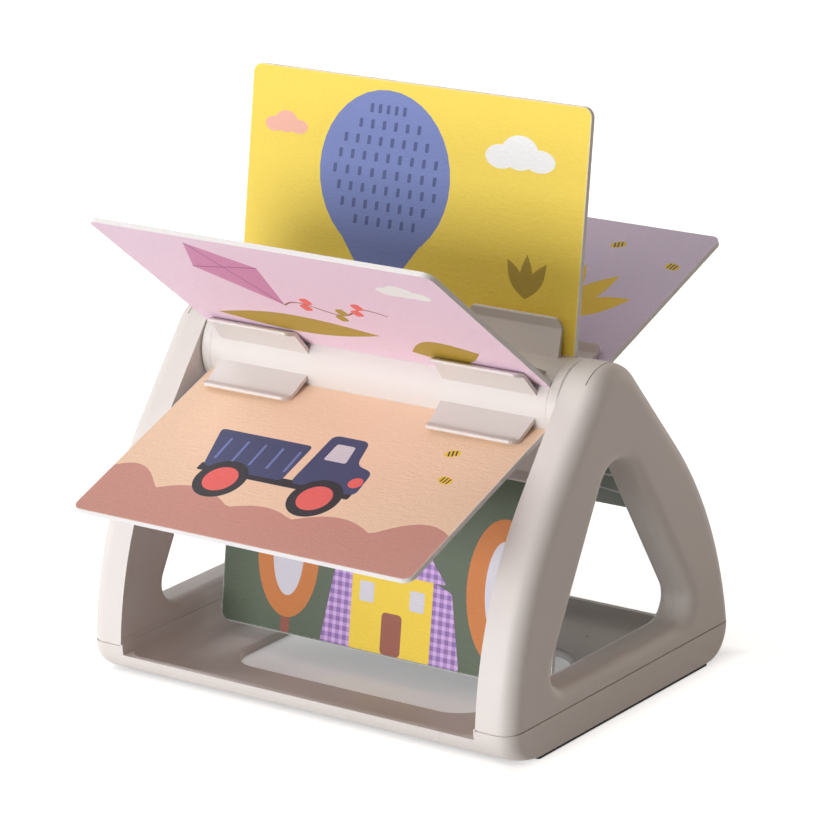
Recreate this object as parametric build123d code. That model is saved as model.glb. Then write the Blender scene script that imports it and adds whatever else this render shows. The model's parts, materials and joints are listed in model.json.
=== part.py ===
from build123d import *
from math import asin, atan2, cos, hypot, radians, sin, sqrt, tan
import os

# Rotating activity book: six board pages turn on a drum between two end frames.
# Millimetres. X runs along the drum, -Y is the front and Z is up.
# The origin is the middle of the footprint, on the surface that the book stands on.

# Pages
PAGE_WIDTH = 190.0
PAGE_THICK = 2.3
PAGE_REACH = 132.4
PAGE_CORNER = 5.0
PAGE_CLEARANCE = 0.1
PAGE_SIDE_GAP = 0.3
REST_ANGLE = 80.3

# Whole book
AXIS_Z = 141.0
SEAM_Z = 17.3
FRAME_THICK = 19.3
WALL = 2.5
SEAT_GAP = 0.1

# End frames: an arch over the drum, straight shoulders and legs that curve to the vertical
ARCH_RADIUS = 21.5
SHOULDER_ANGLE = 38.8
FOOT_HALF_Y = 90.0
FRAME_FILLET = 8.5
HOLE_SILL = 8.7
HOLE_LEG_WIDTH = 28.0
HOLE_TOP_GAP = 9.0
HOLE_CORNER = 10.0
HOLE_PEAK_RADIUS = 15.0
HOLE_OUTER_FILLET = 6.0
HOLE_INNER_FILLET = 5.0

# Journals, saddles and caps
JOURNAL_RADIUS = 8.0
JOURNAL_CLEARANCE = 0.06
TONGUE_WALL = 1.8
TONGUE_PLAY = 0.14
SADDLE_WALL = 3.0
SADDLE_BED = 6.0
CAP_DEPTH = 11.2
CAP_HEIGHT = 6.0
CAP_LINE = 0.5
SNAP_DROP = 6.5
SNAP_HEIGHT = 2.0
SNAP_REACH = 0.6
SNAP_INSET = 2.0

# Base tray
BASE_CORNER = 14.3
BASE_LEDGE = 1.0
END_COVE = 8.0
FRONT_LIP_DROP = 5.1
REAR_LIP_DROP = 6.7
REVEAL_HEIGHT = 0.8
REVEAL_DEPTH = 0.8
OPENING_END_MARGIN = 29.2
OPENING_FRONT_MARGIN = 24.0
OPENING_REAR_MARGIN = 35.0
OPENING_CORNER = 18.0
OPENING_ROUND = 2.0
RIM_THICK = 2.0
RIM_CLEARANCE = 0.3
DIMPLE_END_MARGIN = 43.5
DIMPLE_REAR_MARGIN = 13.4
DIMPLE_RADIUS = 0.8
DIMPLE_DEPTH = 0.6

# Anti-slip strips under the ends
STRIP_THICK = 1.5
STRIP_WIDTH = 7.8
STRIP_SIDE_INSET = 0.5
STRIP_END_INSET = 7.0
STRIP_CORNER = 1.5

# Frame screws, driven up through the base
SCREW_RADIUS = 1.5
SCREW_HEAD_RADIUS = 3.0
SCREW_HEAD_HEIGHT = 2.2
SCREW_HEAD_CLEARANCE = 0.3
SCREW_HOLE_CLEARANCE = 0.25
SCREW_GRIP_CLEARANCE = 0.05
SCREW_STRIP_GAP = 0.7
SCREW_CORNER_GAP = 8.0
SCREW_RISE = 14.0
BOSS_WALL = 1.2
BOSS_CAP = 3.0

# Drum
DRUM_RADIUS = 21.3
DRUM_WALL = 2.4
DRUM_END_GAP = 0.6
HUB_RING = 5.3
HUB_EDGE = 1.0
SPIGOT_LENGTH = 12.0
CORE_FLAT = 12.0
CORE_BORE = 8.0
FLANGE_WALL = 2.2
HUB_SCREW_RADIUS = 1.3
HUB_SCREW_HEAD_RADIUS = 2.6
HUB_SCREW_HEAD_HEIGHT = 2.0
HUB_SCREW_HEAD_CLEARANCE = 0.2
HUB_SCREW_HOLE_CLEARANCE = 0.15
HUB_SCREW_LENGTH = 13.0

# Sprung arms that grip the pages
ARM_END_MARGIN = 5.8
ARM_WIDTH = 51.5
ARM_TAPER = 1.5
ARM_CORNER = 4.0
ARM_TIP_R = 38.5
ARM_THICK = 1.8
ARM_LIP_HEIGHT = 5.0
ARM_LIP_OFFSET = 3.9
ARM_FOOT_OFFSET = 4.6
ARM_GRIP_GAP = 0.15
ARM_TIP_ROUND = 0.7
ARM_BEND_RADIUS = 1.2

# How far a cut runs past what it cuts, and how far joined shapes run into each other
BEYOND = 5.0
OVERLAP = 0.5

# Lengths that follow along X
BARREL_HALF = PAGE_WIDTH / 2 + PAGE_SIDE_GAP
DRUM_HALF = BARREL_HALF + HUB_RING
INNER_X = DRUM_HALF + DRUM_END_GAP
HALF_LENGTH = INNER_X + FRAME_THICK
BASE_INNER_X = INNER_X - BASE_LEDGE
JOURNAL_END = INNER_X + CAP_DEPTH - SEAT_GAP
ARM_OUTER_X = BARREL_HALF - ARM_END_MARGIN
ARM_INNER_X = ARM_OUTER_X - ARM_WIDTH
OPENING_HALF_X = BASE_INNER_X - OPENING_END_MARGIN
DIMPLE_X = BASE_INNER_X - DIMPLE_END_MARGIN
STRIP_OUTER_X = HALF_LENGTH - STRIP_SIDE_INSET
STRIP_INNER_X = STRIP_OUTER_X - STRIP_WIDTH
FRAME_SCREW_X = STRIP_INNER_X - SCREW_STRIP_GAP - SCREW_HEAD_RADIUS

# Heights that follow
UNDERSIDE_Z = STRIP_THICK
FLOOR_Z = UNDERSIDE_Z + WALL
BASE_CORNER_Z = UNDERSIDE_Z + BASE_CORNER
FRONT_LIP_Z = SEAM_Z - FRONT_LIP_DROP
REAR_LIP_Z = SEAM_Z - REAR_LIP_DROP
SCREW_TOP_Z = SEAM_Z + SCREW_RISE
BOSS_TOP_Z = SCREW_TOP_Z + BOSS_CAP
BORE_RADIUS = JOURNAL_RADIUS + JOURNAL_CLEARANCE
SADDLE_FLOOR_Z = AXIS_Z - BORE_RADIUS - SADDLE_BED
ARCH_TOP_Z = AXIS_Z + ARCH_RADIUS
CAP_SPLIT_Z = ARCH_TOP_Z - CAP_HEIGHT
SNAP_Z = CAP_SPLIT_Z - SNAP_DROP
HOLE_FLOOR_Z = SEAM_Z + HOLE_SILL
HOLE_TOP_Z = SADDLE_FLOOR_Z - HOLE_TOP_GAP

# The leg is vertical at the feet and runs smoothly into the straight shoulder
SHOULDER = radians(SHOULDER_ANGLE)
LEG_RADIUS = (
    (ARCH_RADIUS - FOOT_HALF_Y * cos(SHOULDER) + AXIS_Z * sin(SHOULDER)) / (1 - cos(SHOULDER))
)
LEG_CENTRE_Y = LEG_RADIUS - FOOT_HALF_Y

# Depths that follow along Y
SEAM_HALF_Y = sqrt(LEG_RADIUS**2 - SEAM_Z**2) - LEG_CENTRE_Y
BASE_CORNER_Y = SEAM_HALF_Y - sqrt(BASE_CORNER**2 - (BASE_CORNER_Z - SEAM_Z) ** 2)
HOLE_SIDE_Y = FOOT_HALF_Y - HOLE_LEG_WIDTH
OPENING_FRONT_Y = OPENING_FRONT_MARGIN - BASE_CORNER_Y
OPENING_REAR_Y = BASE_CORNER_Y - OPENING_REAR_MARGIN
DIMPLE_Y = BASE_CORNER_Y - DIMPLE_REAR_MARGIN
STRIP_HALF_LENGTH = BASE_CORNER_Y - STRIP_END_INSET
FRAME_SCREW_Y = BASE_CORNER_Y - SCREW_CORNER_GAP
BOSS_RADIUS = SCREW_HEAD_RADIUS + SCREW_HEAD_CLEARANCE + BOSS_WALL
TONGUE_HALF = BORE_RADIUS + TONGUE_WALL
SLOT_HALF = TONGUE_HALF + TONGUE_PLAY
SADDLE_HALF = SLOT_HALF + SADDLE_WALL

# Radii that follow about the drum's axis
CORE_RIDGE = CORE_FLAT / cos(radians(30))
HUB_SCREW_R = (CORE_BORE + CORE_RIDGE) / 2
PAGE_ROOT = CORE_RIDGE + SEAT_GAP
PAGE_SLOT_HALF = PAGE_THICK / 2 + PAGE_CLEARANCE
GRIP_R = ARM_TIP_R - ARM_LIP_HEIGHT
FOOT_R = DRUM_RADIUS - DRUM_WALL


def prism_x(sketch, x0, x1):
    """Extrude a sketch drawn in Y and Z from one X to another."""
    return extrude(Plane.YZ.offset(x0) * sketch, x1 - x0, dir=(1, 0, 0))


def block(x0, x1, y0, y1, z0, z1):
    """A box given by its limits."""
    box = Box(x1 - x0, y1 - y0, z1 - z0)
    return Pos((x0 + x1) / 2, (y0 + y1) / 2, (z0 + z1) / 2) * box


def rod_x(radius, x0, x1, y=0.0, z=0.0):
    """A cylinder along X."""
    return Pos((x0 + x1) / 2, y, z) * (Rot(Y=90) * Cylinder(radius, x1 - x0))


def rod_z(radius, x, y, z0, z1):
    """A cylinder along Z."""
    return Pos(x, y, (z0 + z1) / 2) * Cylinder(radius, z1 - z0)


def screw(radius, head_radius, head_height, length):
    """A screw that points up from its head, which stands on Z 0, with a cross recess."""
    body = rod_z(head_radius, 0, 0, 0, head_height)
    body += rod_z(radius, 0, 0, head_height - OVERLAP, length)
    arm = 0.6 * head_radius
    half = 0.15 * head_radius
    depth = 0.5 * head_height
    body -= block(-arm, arm, -half, half, -BEYOND, depth)
    return body - block(-half, half, -arm, arm, -BEYOND, depth)


def frame_outline(inset, foot_z):
    """The end frame's outline in Y and Z, drawn in by an inset."""
    arch = ARCH_RADIUS - inset
    leg = LEG_RADIUS - inset
    foot_angle = asin(foot_z / leg)

    def on_leg(angle, side):
        return (side * (leg * cos(angle) - LEG_CENTRE_Y), leg * sin(angle))

    def on_arch(side):
        return (side * arch * cos(SHOULDER), AXIS_Z + arch * sin(SHOULDER))

    foot = [on_leg(foot_angle, side) for side in (-1, 1)]
    knee = [on_leg((SHOULDER + foot_angle) / 2, side) for side in (-1, 1)]
    hip = [on_leg(SHOULDER, side) for side in (-1, 1)]
    edges = [
        Line(foot[0], foot[1]),
        ThreePointArc(foot[1], knee[1], hip[1]),
        Line(hip[1], on_arch(1)),
        ThreePointArc(on_arch(1), (0, AXIS_Z + arch), on_arch(-1)),
        Line(on_arch(-1), hip[0]),
        ThreePointArc(hip[0], knee[0], foot[0]),
    ]
    return Face(Wire(edges))


def hole_outline(growth):
    """The hand hole's rounded triangle in Y and Z, grown by a wall."""
    centre_z = HOLE_TOP_Z - HOLE_PEAK_RADIUS
    rise = centre_z - HOLE_FLOOR_Z
    lean = atan2(HOLE_SIDE_Y, rise) - asin(HOLE_PEAK_RADIUS / hypot(HOLE_SIDE_Y, rise))
    floor = HOLE_FLOOR_Z - growth
    peak = centre_z + (HOLE_PEAK_RADIUS + growth) / sin(lean)
    side = (peak - floor) * tan(lean)
    triangle = Polygon((-side, floor), (side, floor), (0, peak), align=None)
    corners = triangle.vertices().sort_by(Axis.Y)
    rounded = fillet(corners[:2], HOLE_CORNER + growth)
    top = rounded.vertices().sort_by(Axis.Y)[-1]
    return fillet(top, HOLE_PEAK_RADIUS + growth)


def end_block(inset, foot_z):
    """The right end frame as one closed body, or its hollow when it is inset."""
    body = prism_x(frame_outline(inset, foot_z), INNER_X + inset, HALF_LENGTH - inset)
    outer_face = body.faces().sort_by(Axis.X)[-1]
    rim = [edge for edge in outer_face.outer_wire().edges() if edge.center().Z > foot_z + OVERLAP]
    body = fillet(rim, FRAME_FILLET - inset)
    body -= prism_x(hole_outline(inset), INNER_X - BEYOND, HALF_LENGTH + BEYOND)
    faces = body.faces().filter_by(Axis.X).sort_by(Axis.X)
    body = fillet(faces[-1].inner_wires()[0].edges(), HOLE_OUTER_FILLET - inset)
    faces = body.faces().filter_by(Axis.X).sort_by(Axis.X)
    return fillet(faces[0].inner_wires()[0].edges(), HOLE_INNER_FILLET - inset)


def cap_band(x1):
    """The part of the arch that the bearing cap takes, out to a given X."""
    reach = 2 * ARCH_RADIUS
    return block(INNER_X, x1, -reach, reach, CAP_SPLIT_Z, ARCH_TOP_Z + BEYOND)


def end_frame_shell(walls, lining):
    """The outer shell: it holds the saddle and the screw bosses."""
    cap_x = INNER_X + CAP_DEPTH + SEAT_GAP
    saddle = saddle_block(0)
    plate = prism_x(frame_outline(WALL, SEAM_Z + WALL), INNER_X, INNER_X + WALL)
    middle_x = INNER_X + FRAME_THICK / 2
    recess = plate + lining + prism_x(hole_outline(WALL), INNER_X, middle_x)
    shell = walls - (recess - saddle) - cap_band(INNER_X + CAP_DEPTH + CAP_LINE)
    shell -= rod_x(BORE_RADIUS, INNER_X - BEYOND, cap_x, 0, AXIS_Z)
    shell -= block(INNER_X, cap_x, -SLOT_HALF, SLOT_HALF, AXIS_Z, CAP_SPLIT_Z + BEYOND)
    catch = TONGUE_HALF + SNAP_REACH + SEAT_GAP
    shell -= block(
        INNER_X, cap_x, -catch, catch, SNAP_Z - SEAT_GAP, SNAP_Z + SNAP_HEIGHT + SEAT_GAP
    )
    for y in (-FRAME_SCREW_Y, FRAME_SCREW_Y):
        hole = SCREW_RADIUS + SCREW_GRIP_CLEARANCE
        shell -= rod_z(hole, FRAME_SCREW_X, y, SEAM_Z - BEYOND, SCREW_TOP_Z + OVERLAP)
    return shell


def saddle_block(gap):
    """The solid block that carries the journal, grown by a gap."""
    half = SADDLE_HALF + gap
    top_z = CAP_SPLIT_Z + (BEYOND if gap else 0)
    return block(INNER_X, HALF_LENGTH - WALL, -half, half, SADDLE_FLOOR_Z - gap, top_z)


def inner_cover(walls, lining):
    """The cover that closes the shell and lines the inner half of the hand hole."""
    inset = WALL + SEAT_GAP
    plate = prism_x(frame_outline(inset, SEAM_Z + inset), INNER_X, INNER_X + WALL)
    middle_x = INNER_X + FRAME_THICK / 2
    space = plate + lining + prism_x(hole_outline(WALL), INNER_X, middle_x - SEAT_GAP)
    return (walls & space) - saddle_block(SEAT_GAP) - cap_band(HALF_LENGTH)


def bearing_cap(solid):
    """The top of the arch, with a tongue that comes down over the journal."""
    far_x = INNER_X + CAP_DEPTH
    dome = solid & cap_band(far_x)
    tongue = block(INNER_X, far_x, -TONGUE_HALF, TONGUE_HALF, AXIS_Z, CAP_SPLIT_Z)
    catch = TONGUE_HALF + SNAP_REACH
    snap = block(
        INNER_X + SNAP_INSET, far_x - SNAP_INSET, -catch, catch, SNAP_Z, SNAP_Z + SNAP_HEIGHT
    )
    return dome + tongue + snap - rod_x(BORE_RADIUS, INNER_X - BEYOND, far_x + BEYOND, 0, AXIS_Z)


def end_frame_parts():
    """The right end frame's shell, inner cover and bearing cap."""
    solid = end_block(0, SEAM_Z)
    hollow = end_block(WALL, SEAM_Z + WALL) - saddle_block(0)
    for y in (-FRAME_SCREW_Y, FRAME_SCREW_Y):
        hollow -= rod_z(BOSS_RADIUS, FRAME_SCREW_X, y, SEAM_Z, BOSS_TOP_Z)
    walls = solid - hollow
    # The whole of the hole's inner rounding belongs to the cover
    lining = prism_x(hole_outline(HOLE_INNER_FILLET), INNER_X, INNER_X + HOLE_INNER_FILLET)
    return end_frame_shell(walls, lining), inner_cover(walls, lining), bearing_cap(solid)


def base_outline(inset, top_z):
    """The base's U-shaped section in Y and Z, drawn in by an inset."""
    radius = BASE_CORNER - inset
    top_y = BASE_CORNER_Y + sqrt(radius**2 - (BASE_CORNER_Z - top_z) ** 2)
    bend_y = BASE_CORNER_Y + radius * sin(radians(50))
    bend_z = BASE_CORNER_Z - radius * cos(radians(50))
    floor_z = UNDERSIDE_Z + inset
    edges = [
        Line((-BASE_CORNER_Y, floor_z), (BASE_CORNER_Y, floor_z)),
        ThreePointArc((BASE_CORNER_Y, floor_z), (bend_y, bend_z), (top_y, top_z)),
        Line((top_y, top_z), (-top_y, top_z)),
        ThreePointArc((-top_y, top_z), (-bend_y, bend_z), (-BASE_CORNER_Y, floor_z)),
    ]
    return Face(Wire(edges))


def base_body(inset, top_z):
    """The base with its U-shaped section and rounded plan corners, drawn in by an inset."""
    radius = BASE_CORNER - inset
    lift = BASE_CORNER_Z - UNDERSIDE_Z - inset
    turns = [radians(step) for step in (0, 12, 28, 44, 60, 76)]
    rows = [(BASE_CORNER_Y + radius * sin(turn), BASE_CORNER_Z - lift * cos(turn)) for turn in turns]
    rows.append((BASE_CORNER_Y + sqrt(radius**2 - (BASE_CORNER_Z - top_z) ** 2), top_z))
    corner = FRAME_FILLET - inset
    half_x = HALF_LENGTH - inset
    plans = [Plane.XY.offset(z) * RectangleRounded(2 * half_x, 2 * y, corner) for y, z in rows]
    return loft(plans)


def span_x(side, x0, x1):
    """Two X limits on one side of the book, the lower one first."""
    return sorted((side * x0, side * x1))


def end_channel(side):
    """What is cut from the tray under an end frame, but for the screw bosses."""
    near, far = span_x(side, BASE_INNER_X + WALL, HALF_LENGTH - WALL)
    far_y = SEAM_HALF_Y + BEYOND
    channel = base_body(WALL, SEAM_Z + OVERLAP) & block(near, far, -far_y, far_y, 0, SEAM_Z + BEYOND)
    x = side * FRAME_SCREW_X
    for y in (-FRAME_SCREW_Y, FRAME_SCREW_Y):
        channel -= rod_z(BOSS_RADIUS, x, y, 0, SEAM_Z + BEYOND)
    for y in (-FRAME_SCREW_Y, FRAME_SCREW_Y):
        head_top = UNDERSIDE_Z + SCREW_HEAD_HEIGHT + SEAT_GAP
        channel += rod_z(SCREW_HEAD_RADIUS + SCREW_HEAD_CLEARANCE, x, y, 0, head_top)
        channel += rod_z(SCREW_RADIUS + SCREW_HOLE_CLEARANCE, x, y, 0, SEAM_Z + OVERLAP)
    return channel


def seam_reveal(side):
    """The shallow groove round the seam on one end."""
    beyond = HALF_LENGTH + BEYOND
    ring = Rectangle(2 * beyond, 2 * beyond) - RectangleRounded(
        2 * (HALF_LENGTH - REVEAL_DEPTH), 2 * (SEAM_HALF_Y - REVEAL_DEPTH), FRAME_FILLET - REVEAL_DEPTH
    )
    groove = extrude(Plane.XY.offset(SEAM_Z - REVEAL_HEIGHT) * ring, REVEAL_HEIGHT + OVERLAP)
    near, far = span_x(side, INNER_X, beyond)
    return groove & block(near, far, -beyond, beyond, 0, SEAM_Z + BEYOND)


def base_tray():
    """The tray, its lips and the two end channels as one moulding."""
    tray = base_body(0, SEAM_Z)

    basin = prism_x(base_outline(WALL, SEAM_Z + OVERLAP), -BASE_INNER_X, BASE_INNER_X)
    ends = basin.faces().filter_by(Axis.X)
    coves = [edge for face in ends for edge in face.edges() if edge.center().Z < SEAM_Z]
    tray -= fillet(coves, END_COVE)
    far_y = SEAM_HALF_Y + BEYOND
    top_z = SEAM_Z + BEYOND
    tray -= block(-BASE_INNER_X, BASE_INNER_X, -far_y, 0, FRONT_LIP_Z, top_z)
    tray -= block(-BASE_INNER_X, BASE_INNER_X, 0, far_y, REAR_LIP_Z, top_z)
    for side in (-1, 1):
        tray -= end_channel(side)
        tray -= seam_reveal(side)

    # The floor opening with its turned-down rim
    depth = OPENING_REAR_Y - OPENING_FRONT_Y
    hole = RectangleRounded(2 * OPENING_HALF_X, depth, OPENING_CORNER)
    rim = RectangleRounded(
        2 * (OPENING_HALF_X + RIM_THICK), depth + 2 * RIM_THICK, OPENING_CORNER + RIM_THICK
    )
    middle = Pos(0, (OPENING_FRONT_Y + OPENING_REAR_Y) / 2, RIM_CLEARANCE)
    tray += extrude(middle * rim, FLOOR_Z - RIM_CLEARANCE)
    tray -= extrude(middle * hole, FLOOR_Z + BEYOND, both=True)
    mouth = [
        edge for edge in tray.edges().filter_by_position(Axis.Z, FLOOR_Z, FLOOR_Z)
        if abs(edge.center().X) <= OPENING_HALF_X and OPENING_FRONT_Y <= edge.center().Y <= OPENING_REAR_Y
    ]
    tray = fillet(mouth, OPENING_ROUND)
    for x in (-DIMPLE_X, DIMPLE_X):
        tray -= rod_z(DIMPLE_RADIUS, x, DIMPLE_Y, FLOOR_Z - DIMPLE_DEPTH, FLOOR_Z + OVERLAP)
    return tray


def foot_strip():
    """The anti-slip strip under the right end."""
    plan = RectangleRounded(STRIP_WIDTH, 2 * STRIP_HALF_LENGTH, STRIP_CORNER)
    return extrude(Pos((STRIP_INNER_X + STRIP_OUTER_X) / 2, 0, 0) * plan, STRIP_THICK)


def frame_screws():
    """The two screws that hold the right end frame to the base."""
    length = SCREW_TOP_Z - UNDERSIDE_Z
    one = screw(SCREW_RADIUS, SCREW_HEAD_RADIUS, SCREW_HEAD_HEIGHT, length)
    return [Pos(FRAME_SCREW_X, y, UNDERSIDE_Z) * one for y in (-FRAME_SCREW_Y, FRAME_SCREW_Y)]


def page():
    """A board page that stands up from the axis, with its root in the drum's slot."""
    plan = RectangleRounded(PAGE_WIDTH, PAGE_REACH - PAGE_ROOT, PAGE_CORNER)
    upright = extrude(Plane.XZ * plan, PAGE_THICK / 2, both=True)
    return Pos(0, 0, (PAGE_REACH + PAGE_ROOT) / 2) * upright


def wedge(flange):
    """A 60 degree wedge about +Z whose flanks lie beside the next two pages."""
    apex_z = flange / sin(radians(30))
    reach = 2 * DRUM_RADIUS
    spread = reach * tan(radians(30))
    return Polygon((0, apex_z), (spread, apex_z + reach), (-spread, apex_z + reach), align=None)


def arm_section():
    """A sprung arm in Y and Z: a leaning foot, the grip line and a flared lip."""
    foot_point = Vector(ARM_FOOT_OFFSET, FOOT_R)
    grip_point = Vector(PAGE_THICK / 2 + ARM_GRIP_GAP, GRIP_R)
    lip_point = Vector(ARM_LIP_OFFSET, ARM_TIP_R)
    lean = (grip_point - foot_point).normalized()
    flare = (lip_point - grip_point).normalized()
    lean_out = Vector(lean.Y, -lean.X)
    flare_out = Vector(flare.Y, -flare.X)
    bend_out = (lean_out + flare_out) * (1 / (1 + lean_out.dot(flare_out)))
    points = [
        foot_point,
        grip_point,
        lip_point,
        lip_point + flare_out * ARM_THICK,
        grip_point + bend_out * ARM_THICK,
        foot_point + Vector(ARM_THICK / lean.Y, 0),
    ]
    section = Polygon(*[(p.X, p.Y) for p in points], align=None)
    section = fillet(section.vertices().sort_by(Axis.Y)[2:4], ARM_BEND_RADIUS)
    return fillet(section.vertices().sort_by(Axis.Y)[-2:], ARM_TIP_ROUND)


def arm_pair():
    """The left and right arms on one face of a page."""
    strip = prism_x(arm_section(), -ARM_OUTER_X, ARM_OUTER_X)
    arms = []
    for side in (-1, 1):
        outline = Polygon(
            (side * ARM_INNER_X, 0),
            (side * ARM_OUTER_X, 0),
            (side * ARM_OUTER_X, DRUM_RADIUS),
            (side * (ARM_OUTER_X - ARM_TAPER), ARM_TIP_R),
            (side * (ARM_INNER_X + ARM_TAPER), ARM_TIP_R),
            (side * ARM_INNER_X, DRUM_RADIUS),
            align=None,
        )
        tips = outline.vertices().sort_by(Axis.Y)[-2:]
        plan = Plane.XZ * fillet(tips, ARM_CORNER)
        arms.append(strip & extrude(plan, DRUM_RADIUS, both=True))
    return arms


def drum_segment():
    """A sixth of the drum's skin, between two pages, with its four arms."""
    above_core = Pos(0, CORE_FLAT + DRUM_RADIUS) * Rectangle(4 * DRUM_RADIUS, 2 * DRUM_RADIUS)
    outer = Circle(DRUM_RADIUS) & wedge(PAGE_SLOT_HALF) & above_core
    inner = Circle(DRUM_RADIUS - DRUM_WALL) & wedge(PAGE_SLOT_HALF + FLANGE_WALL)
    segment = prism_x(outer - inner, -BARREL_HALF, BARREL_HALF)
    for arm in arm_pair():
        segment += Rot(X=30) * arm
        segment += Rot(X=-30) * mirror(arm, about=Plane.XZ)
    return segment


def drum_core():
    """The six-sided tube that the segments stand on."""
    section = RegularPolygon(CORE_FLAT, 6, major_radius=False, rotation=30) - Circle(CORE_BORE)
    tube = prism_x(section, -BARREL_HALF, BARREL_HALF)
    depth = HUB_SCREW_LENGTH - HUB_RING + HUB_SCREW_HEAD_HEIGHT
    for side in (-1, 1):
        near, far = span_x(side, BARREL_HALF - depth, BARREL_HALF + BEYOND)
        for z in (-HUB_SCREW_R, HUB_SCREW_R):
            tube -= rod_x(HUB_SCREW_RADIUS + SCREW_GRIP_CLEARANCE, near, far, 0, z)
    return tube


def drum_hub():
    """The right hub: a ring that closes the drum, a spigot and the journal."""
    ring = rod_x(DRUM_RADIUS, BARREL_HALF + SEAT_GAP, DRUM_HALF)
    ring = fillet(ring.edges().filter_by(GeomType.CIRCLE).sort_by(Axis.X)[-1], HUB_EDGE)
    hub = ring + rod_x(JOURNAL_RADIUS, DRUM_HALF - OVERLAP, JOURNAL_END)
    hub += rod_x(CORE_BORE - SEAT_GAP, BARREL_HALF - SPIGOT_LENGTH, BARREL_HALF + OVERLAP)
    seat = DRUM_HALF - HUB_SCREW_HEAD_HEIGHT
    for z in (-HUB_SCREW_R, HUB_SCREW_R):
        head = HUB_SCREW_HEAD_RADIUS + HUB_SCREW_HEAD_CLEARANCE
        hub -= rod_x(head, seat, DRUM_HALF + OVERLAP, 0, z)
        hub -= rod_x(HUB_SCREW_RADIUS + HUB_SCREW_HOLE_CLEARANCE, BARREL_HALF, DRUM_HALF, 0, z)
    return hub


def hub_screws():
    """The two screws that hold the right hub to the core."""
    one = screw(HUB_SCREW_RADIUS, HUB_SCREW_HEAD_RADIUS, HUB_SCREW_HEAD_HEIGHT, HUB_SCREW_LENGTH)
    return [Pos(DRUM_HALF, 0, z) * Rot(Y=-90) * one for z in (-HUB_SCREW_R, HUB_SCREW_R)]


def left(shape):
    """The left-hand twin of a right-hand piece."""
    return mirror(shape, about=Plane.YZ)


def on_drum(shape, turn=0.0):
    """Put a piece drawn about the axis on the drum as it rests."""
    return Pos(0, 0, AXIS_Z) * Rot(X=REST_ANGLE - 90 + turn) * shape


def main():
    os.makedirs("parts", exist_ok=True)
    nodes = {"base_tray": base_tray()}

    shell, cover, cap = end_frame_parts()
    strip = foot_strip()
    screws = frame_screws()
    nodes["right_end_frame"] = shell
    nodes["left_end_frame"] = left(shell)
    nodes["right_inner_cover"] = cover
    nodes["left_inner_cover"] = left(cover)
    nodes["right_bearing_cap"] = cap
    nodes["left_bearing_cap"] = left(cap)
    nodes["right_foot_strip"] = strip
    nodes["left_foot_strip"] = left(strip)
    nodes["right_frame_screws"] = Compound(screws)
    nodes["left_frame_screws"] = Compound([left(one) for one in screws])

    hub = drum_hub()
    pins = hub_screws()
    nodes["drum_core"] = on_drum(drum_core())
    nodes["right_drum_hub"] = on_drum(hub)
    nodes["left_drum_hub"] = on_drum(left(hub))
    nodes["right_hub_screws"] = Compound([on_drum(pin) for pin in pins])
    nodes["left_hub_screws"] = Compound([on_drum(left(pin)) for pin in pins])
    segment = drum_segment()
    board = page()
    for index in range(6):
        nodes[f"drum_segment_{index + 1}"] = on_drum(segment, 30 + 60 * index)
        nodes[f"page_{index + 1}"] = on_drum(board, 60 * index)

    for name, shape in nodes.items():
        shape.label = name
        export_step(shape, f"parts/{name}.step")
        size = shape.bounding_box().size
        print(f"{name:20s} {len(shape.solids())} solids {size.X:.1f} x {size.Y:.1f} x {size.Z:.1f}")


if __name__ == "__main__":
    main()
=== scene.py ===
# %% [markdown]
# # A rotating activity book
#
# The object is a toddler's book without a spine. Six board pages stand out from a drum, the drum
# turns between two arched end frames, and the frames stand on a shallow tray. All the solid parts
# already exist as an exact model. This script gives them their finishes, prints the pictures on
# the pages, and sets up the light and the camera.

# %% Load the exact model
import bpy
import json
from math import atan2, cos, degrees, hypot, pi, radians, sin
from mathutils import Matrix, Vector


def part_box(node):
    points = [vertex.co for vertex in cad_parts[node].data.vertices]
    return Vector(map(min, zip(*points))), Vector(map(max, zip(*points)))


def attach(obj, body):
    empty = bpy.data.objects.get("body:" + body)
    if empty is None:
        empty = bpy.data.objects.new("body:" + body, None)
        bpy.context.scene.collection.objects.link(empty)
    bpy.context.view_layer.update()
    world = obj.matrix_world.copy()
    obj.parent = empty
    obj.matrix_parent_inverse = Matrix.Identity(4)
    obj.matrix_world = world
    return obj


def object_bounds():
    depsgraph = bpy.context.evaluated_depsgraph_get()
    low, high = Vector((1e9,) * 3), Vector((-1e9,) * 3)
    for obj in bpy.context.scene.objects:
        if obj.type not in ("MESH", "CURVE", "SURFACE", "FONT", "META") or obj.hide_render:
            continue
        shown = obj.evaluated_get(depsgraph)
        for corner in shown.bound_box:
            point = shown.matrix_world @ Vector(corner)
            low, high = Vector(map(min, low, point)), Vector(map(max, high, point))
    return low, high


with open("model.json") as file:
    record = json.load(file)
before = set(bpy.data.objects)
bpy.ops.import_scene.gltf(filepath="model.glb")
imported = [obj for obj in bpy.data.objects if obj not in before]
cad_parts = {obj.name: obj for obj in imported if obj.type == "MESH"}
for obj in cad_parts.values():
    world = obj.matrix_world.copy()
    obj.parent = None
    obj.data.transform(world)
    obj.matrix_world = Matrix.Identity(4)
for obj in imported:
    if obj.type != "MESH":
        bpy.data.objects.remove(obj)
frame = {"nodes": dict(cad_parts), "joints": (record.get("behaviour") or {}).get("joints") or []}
cad_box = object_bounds()
nodes = frame["nodes"]
axis_z = frame["joints"][0]["pos_m"][2]
MM = 0.001
print("pieces in the model:", len(nodes), "and the drum turns at height", axis_z)

# %% [markdown]
# ## Working by hand, but in code
#
# Blender's operators act on whatever is selected, so each step starts with nothing selected. The
# exact model arrives selected, and would be changed by the first operator if it stayed so.


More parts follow.
